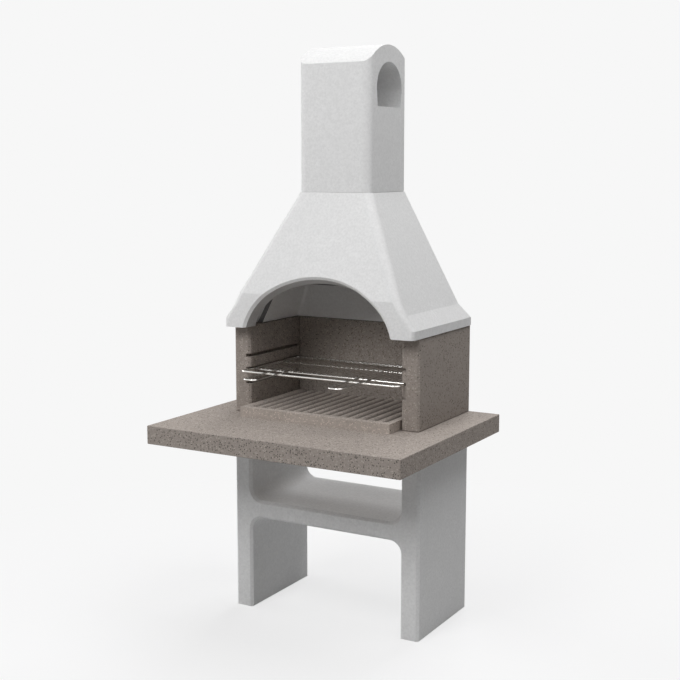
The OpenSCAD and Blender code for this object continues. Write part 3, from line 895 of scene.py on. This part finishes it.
def wire_grid(sizes, finish):
    """Parallel wires with domed ends, each a hair out of line."""
    low, high = frame_box("grill_wires")
    wire = high.z - low.z
    g = Geometry("Wire grid")
    count = g.value("Wires", "Int", sizes.wire_count)
    width = g.value("Width", "Float", high.x - low.x - wire)
    length = g.value("Length", "Float", high.y - low.y)
    radius = g.value("Wire Radius", "Float", wire / 2)
    middle = g.value("Middle", "Vector", (0, (low.y + high.y) / 2, low.z + wire / 2))
    stray = g.value("Stray", "Float", 0.0003)
    seed = g.value("Seed", "Int", 7)

    dome = g.math("MULTIPLY", radius, DOME_SHARE)
    rod = g.add("GeometryNodeMeshCylinder", {
        "Vertices": WIRE_SIDES, "Radius": radius,
        "Depth": g.math("SUBTRACT", length, g.math("MULTIPLY", dome, 2.0))}).outputs[0]
    ball = g.add("GeometryNodeMeshUVSphere", {
        "Segments": WIRE_SIDES, "Rings": WIRE_RINGS, "Radius": radius}).outputs[0]
    end = g.math("SUBTRACT", g.math("DIVIDE", length, 2.0), dome)
    near = g.moved(ball, g.vector(0.0, 0.0, g.math("MULTIPLY", end, -1.0)), size=(1, 1, DOME_SHARE))
    far = g.moved(ball, g.vector(0.0, 0.0, end), size=(1, 1, DOME_SHARE))
    wire_mesh = g.moved(g.joined(rod, near, far), turn=(math.radians(90), 0, 0))
    index = g.add("GeometryNodeInputIndex").outputs[0]
    shift = g.add("FunctionNodeRandomValue", {2: g.math("MULTIPLY", stray, -1.0), 3: stray, "ID": index,
                                              "Seed": seed}, data_type="FLOAT").outputs[1]
    points = g.add("GeometryNodeSetPosition", {
        "Geometry": wire_line(g, count, width), "Offset": g.vector(shift, 0.0, 0.0)}).outputs[0]
    wires = g.add("GeometryNodeInstanceOnPoints", {"Points": points, "Instance": wire_mesh}).outputs[0]
    return g.build("grill_wire_grid", g.moved(wires, middle), finish)


def weld_beads(sizes, finish):
    """A weld bead at every crossing of a wire and a bar, a little different in size from its neighbours."""
    low, high = frame_box("grill_wires")
    bars = [frame_box(node) for node in ("grill_front_bar", "grill_middle_bar", "grill_back_bar")]
    g = Geometry("Weld beads")
    count = g.value("Wires", "Int", sizes.wire_count)
    width = g.value("Width", "Float", -2 * low.x - (high.z - low.z))
    radius = g.value("Bead Radius", "Float", sizes.bead_size / 2)
    height = g.value("Bead Height", "Float", bars[0][1].z - BEAD_SINK_SHARE * sizes.bead_size)
    least = g.value("Least Share", "Float", 0.85)
    seed = g.value("Seed", "Int", 11)
    rows = [g.value(name, "Float", (box_low.y + box_high.y) / 2)
            for name, (box_low, box_high) in zip(("Front Bar", "Middle Bar", "Back Bar"), bars)]
    drop = g.add("GeometryNodeMeshIcoSphere", {"Radius": radius, "Subdivisions": 3}).outputs[0]
    lines = [g.moved(wire_line(g, count, width), g.vector(0.0, y, height)) for y in rows]
    share = g.add("FunctionNodeRandomValue", {2: least, 3: 1.0, "Seed": seed}, data_type="FLOAT").outputs[1]
    beads = g.add("GeometryNodeInstanceOnPoints", {
        "Points": g.joined(*lines), "Instance": g.moved(drop, size=BEAD_SHARES),
        "Scale": g.vector(share, share, share)}).outputs[0]
    return g.build("grill_weld_beads", beads, finish)


class BARBECUE_OT_grill_wires(bpy.types.Operator):
    """Lay the thin wires across the bars and weld them at every crossing"""
    bl_idname = "barbecue.grill_wires"
    bl_label = "Grill Wires"

    def execute(self, context):
        sizes = context.scene.barbecue_sizes
        obj = wire_grid(sizes, material("chromed wire"))
        smooth_shade(obj, WIRE_SHARP)
        finish_piece(obj, GRILL, ["grill_wires"], material("chromed wire"))
        # Real beads, coloured near black to paint the shadow at each crossing
        beads = weld_beads(sizes, material("weld metal"))
        smooth_shade(beads, BEAD_SHARP)
        finish_piece(beads, GRILL, [], material("weld metal"))
        return {"FINISHED"}


def pressed_out(node, name, grow, corner):
    """Adhesive beds that reach almost to the faces of the castings, each grown round its own middle."""
    bm = joined_triangles(node)
    whole_faces(bm)
    for part in connected_parts(bm):
        for axis in (0, 1):
            middle = (min(vert.co[axis] for vert in part) + max(vert.co[axis] for vert in part)) / 2
            for vert in part:
                vert.co[axis] += math.copysign(grow, vert.co[axis] - middle)

    def upright(edge):
        """The whole width on upright corners, and little on the level edges."""
        return 1.0 if abs(edge.verts[0].co.z - edge.verts[1].co.z) > LEVEL else BED_SHARE

    return round_edges(built_object(name, bm), corner, 1, BED_SHARP, upright)


class BARBECUE_OT_joints(bpy.types.Operator):
    """Fill the joints that show: under the firebox and under the chimney"""
    bl_idname = "barbecue.joints"
    bl_label = "Joints"

    def execute(self, context):
        sizes = context.scene.barbecue_sizes
        for node, corner, key in (("wall_adhesive", sizes.wall_corner, "cured adhesive"),
                                  ("chimney_adhesive", sizes.joint_corner, "joint mortar")):
            obj = pressed_out(node, node + "_bed", sizes.joint_growth, corner)
            finish_piece(obj, ROOT, [node], material(key))
        return {"FINISHED"}


class BARBECUE_OT_hidden_parts(bpy.types.Operator):
    """Finish the adhesive beds and the steel bars inside the castings"""
    bl_idname = "barbecue.hidden_parts"
    bl_label = "Adhesive and Steel"

    def execute(self, context):
        for node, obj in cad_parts.items():
            key = {"adhesive": "cured adhesive", "reinforcement": "drawn steel"}.get(node.split("_")[-1])
            # The hood's bed is near black to paint the shadow under its lip
            if node == "hood_adhesive":
                key = "dark joint"
            if key:
                for slot in obj.material_slots:
                    slot.material = material(key)
        return {"FINISHED"}


# Stage


# The background, and the floor's colour as it is seen and as it lights the object from below
BACKDROP = (247, 247, 247)
FLOOR_SEEN = (0.93, 0.93, 0.94, 1)
FLOOR_BOUNCE = (0.48, 0.48, 0.48, 1)
FLOOR_REACH = 30
# The floor fades into the background over this distance, by these stops
FADE_REACH = 6.0
FADE = ((0.12, 0.66), (0.34, 1.0))
# Strength of the even light from all round
WORLD_LEVEL = 0.04
# Lamps: name, place, target and size in metres, and power in watts
LAMPS = (
    ("overhead", (0, 0, 5.5), (0, 0, 0), 4, 33),
    ("front", (-0.7, -4.4, 4.4), (0, 0, 0.8), 2.5, 158),
    ("left", (-5, -0.5, 2.6), (0, 0, 1.0), 3, 92),
    ("front right", (2.8, -2.2, 4.8), (0, 0, 1.0), 3, 32),
    ("right high", (2.4, 0.4, 5.2), (0, 0, 1.0), 3, 88),
    ("back high", (-0.3, 4.6, 3.4), (0, 0, 0.6), 3, 150),
)
# The camera that was solved from the photograph: metres, degrees and millimetres
CAMERA_PLACE = (2.1573, -3.6634, 1.6578)
CAMERA_TILT = 81.74
CAMERA_HEADING = 29.87
CAMERA_LENS = 63.87
CAMERA_SENSOR = 36.0
CAMERA_REACH = 100


def seen_directly(tree):
    """1 for rays from the camera or off a glossy surface, and 0 for all others."""
    path = tree.add("ShaderNodeLightPath").outputs
    return tree.math("MAXIMUM", path["Is Camera Ray"], path["Is Glossy Ray"])


def stage_material(name, backdrop):
    """Pale floor that keeps the shadow near the object and fades into the background."""
    n = Nodes(name)
    distance = n.add("ShaderNodeVectorMath", {0: n.place}, operation="LENGTH").outputs["Value"]
    fade = n.ramp(n.math("DIVIDE", distance, FADE_REACH), *FADE)
    seen = seen_directly(n)
    lit = n.add("ShaderNodeBsdfDiffuse", {"Color": n.mix(seen, FLOOR_BOUNCE, FLOOR_SEEN)}).outputs[0]
    glow = n.add("ShaderNodeEmission", {"Color": backdrop, "Strength": 1.0}).outputs[0]
    mixed = n.add("ShaderNodeMixShader", {0: n.math("MULTIPLY", fade, seen), 1: lit, 2: glow})
    n.add("ShaderNodeOutputMaterial", {"Surface": mixed.outputs[0]})
    return n.material


def add_area_lamp(name, place, target, size, watts):
    """A soft square lamp that faces a point."""
    lamp = bpy.data.lights.new(name, "AREA")
    lamp.shape = "SQUARE"
    lamp.size = size
    lamp.energy = watts
    obj = new_object(name, lamp)
    obj.location = place
    obj.rotation_euler = (Vector(target) - Vector(place)).to_track_quat("-Z", "Y").to_euler()


def add_camera():
    """The camera at the photograph's view."""
    data = bpy.data.cameras.new("camera")
    data.sensor_width = CAMERA_SENSOR
    data.lens = CAMERA_LENS
    data.clip_end = CAMERA_REACH
    obj = new_object("camera", data)
    obj.location = CAMERA_PLACE
    obj.rotation_euler = (math.radians(CAMERA_TILT), 0, math.radians(CAMERA_HEADING))
    bpy.context.scene.camera = obj


def set_world(level, backdrop):
    """Even light from all round, with the pale background where the camera or a reflection sees it."""
    world = bpy.data.worlds.new("studio")
    bpy.context.scene.world = world
    world.use_nodes = True
    tree = Tree(world.node_tree)
    world.node_tree.nodes.clear()
    light = tree.add("ShaderNodeBackground", {"Color": (1, 1, 1, 1), "Strength": level}).outputs[0]
    back = tree.add("ShaderNodeBackground", {"Color": backdrop, "Strength": 1.0}).outputs[0]
    mixed = tree.add("ShaderNodeMixShader", {0: seen_directly(tree), 1: light, 2: back})
    tree.add("ShaderNodeOutputWorld", {"Surface": mixed.outputs[0]})


class BARBECUE_OT_stage(bpy.types.Operator):
    """Set up the floor, the light and the camera"""
    bl_idname = "barbecue.stage"
    bl_label = "Stage"

    def execute(self, context):
        backdrop = linear(BACKDROP)
        context.scene.view_settings.view_transform = "Standard"
        bm = bmesh.new()
        bmesh.ops.create_grid(bm, x_segments=1, y_segments=1, size=FLOOR_REACH)
        floor = built_object("floor", bm)
        floor.data.materials.append(stage_material("pale floor", backdrop))
        set_world(WORLD_LEVEL, backdrop)
        for lamp in LAMPS:
            add_area_lamp(*lamp)
        add_camera()
        return {"FINISHED"}


# Settings, panel and registration


def length_field(name, description, default):
    """A length that the panel shows."""
    return FloatProperty(name=name, description=description, default=default, min=0, unit="LENGTH")


def count_field(name, description, default):
    """A number of pieces that the panel shows."""
    return IntProperty(name=name, description=description, default=default, min=2)


def colour_field(name, description, default):
    """A colour that the panel shows, given from 0 to 255."""
    return FloatVectorProperty(name=name, description=description, default=linear(default)[:3], size=3,
                               min=0, max=1, subtype="COLOR")


class BarbecueSizes(bpy.types.PropertyGroup):
    """Sizes of the surfaces that the construction model doesn't hold"""
    leg_thickness: length_field("Leg Thickness", "Thickness of each leg of the base", 0.073)
    shelf_height: length_field("Shelf Height", "Height of the shelf's underside above the floor", 0.351)
    shelf_thickness: length_field("Shelf Thickness", "Thickness of the shelf", 0.068)
    shelf_corner: length_field("Shelf Corners", "Radius between the legs and the shelf", 0.047)
    leg_edge: length_field("Base Bevels", "Bevel along the front and the back of the base", 0.010)
    leg_rounding: length_field("Base Edges", "Rounding of the base's edges", 0.0015)
    slab_edge: length_field("Worktop Edges", "Rounding of the worktop's edges", 0.0025)
    wall_edge: length_field("Wall Edges", "Rounding of the firebox walls' edges", 0.002)
    plate_edge: length_field("Hearth Edges", "Rounding of the hearth plate's edges", 0.0015)
    rib_count: count_field("Ribs", "Number of ribs on the hearth plate", 16)
    channel_depth: length_field("Channel Depth", "Depth of the channels between the ribs", 0.011)
    plate_border: length_field("Plate Border", "Flat border in front of the channels", 0.028)
    channel_end: length_field("Channel Ends", "Length over which a channel runs out to the border", 0.014)
    hood_edge: length_field("Hood Edges", "Rounding of the hood's and the chimney's edges", 0.004)
    mouth_depth: length_field("Mouth Depth", "Depth of the arched mouth behind the hood's front", 0.085)
    mouth_drop: length_field("Mouth Drop", "Height of the oval's middle below the hood's foot", 0.043)
    joint_growth: length_field("Joint Growth", "How far the adhesive is pressed out past its bed", 0.004)
    wall_corner: length_field("Wall Joint Corners", "Bevel at the corners of the beds under the walls", 0.006)
    joint_corner: length_field("Joint Edges", "Rounding of the chimney joint's edges", 0.001)
    frame_bend: length_field("Frame Bends", "Radius of the grill frame's bends", 0.020)
    handle_bend: length_field("Handle Bends", "Radius of the handles' bends", 0.017)
    wire_count: count_field("Wires", "Number of wires in the grill", 31)
    bead_size: length_field("Weld Beads", "Width of the weld beads between the wires and the bars", 0.0044)


class BarbecueColours(bpy.types.PropertyGroup):
    """Colours of the object's materials"""
    granulate: colour_field("Granulate", "Mean colour of the granulate concrete", (158, 149, 142))
    white: colour_field("White", "Colour of the white concrete", (238, 238, 238))
    grey: colour_field("Grey", "Colour of the light grey concrete", (238, 238, 238))
    # Colour that paints the shade inside the hood
    raw: colour_field("Raw", "Colour of the raw concrete inside the hood", (150, 149, 149))
    chrome: colour_field("Chrome", "Colour of the chromed wire", (224, 222, 218))


OPERATORS = (
    BARBECUE_OT_stage,
    BARBECUE_OT_base,
    BARBECUE_OT_worktop,
    BARBECUE_OT_firebox,
    BARBECUE_OT_hearth_plate,
    BARBECUE_OT_hood,
    BARBECUE_OT_chimney,
    BARBECUE_OT_grill_rods,
    BARBECUE_OT_grill_handles,
    BARBECUE_OT_grill_wires,
    BARBECUE_OT_joints,
    BARBECUE_OT_hidden_parts,
)


class BARBECUE_PT_panel(bpy.types.Panel):
    """Builds the barbecue piece by piece"""
    bl_idname = "BARBECUE_PT_panel"
    bl_label = "Barbecue"
    bl_space_type = "VIEW_3D"
    bl_region_type = "UI"
    bl_category = "Barbecue"

    def draw(self, context):
        scene = context.scene
        for operator in OPERATORS:
            self.layout.operator(operator.bl_idname)
        for group in (scene.barbecue_sizes, scene.barbecue_colours):
            box = self.layout.box()
            for key in group.bl_rna.properties.keys():
                if key not in {"rna_type", "name"}:
                    box.prop(group, key)


CLASSES = (BarbecueSizes, BarbecueColours) + OPERATORS + (BARBECUE_PT_panel,)


def register():
    """Adds the classes and the two groups of settings."""
    for cls in CLASSES:
        bpy.utils.register_class(cls)
    bpy.types.Scene.barbecue_sizes = PointerProperty(type=BarbecueSizes)
    bpy.types.Scene.barbecue_colours = PointerProperty(type=BarbecueColours)


def unregister():
    """Takes the settings and the classes out again."""
    del bpy.types.Scene.barbecue_colours
    del bpy.types.Scene.barbecue_sizes
    for cls in reversed(CLASSES):
        bpy.utils.unregister_class(cls)


def main():
    """Builds everything."""
    register()
    for operator in OPERATORS:
        group, action = operator.bl_idname.split(".")
        getattr(getattr(bpy.ops, group), action)()


if __name__ == "__main__":
    main()
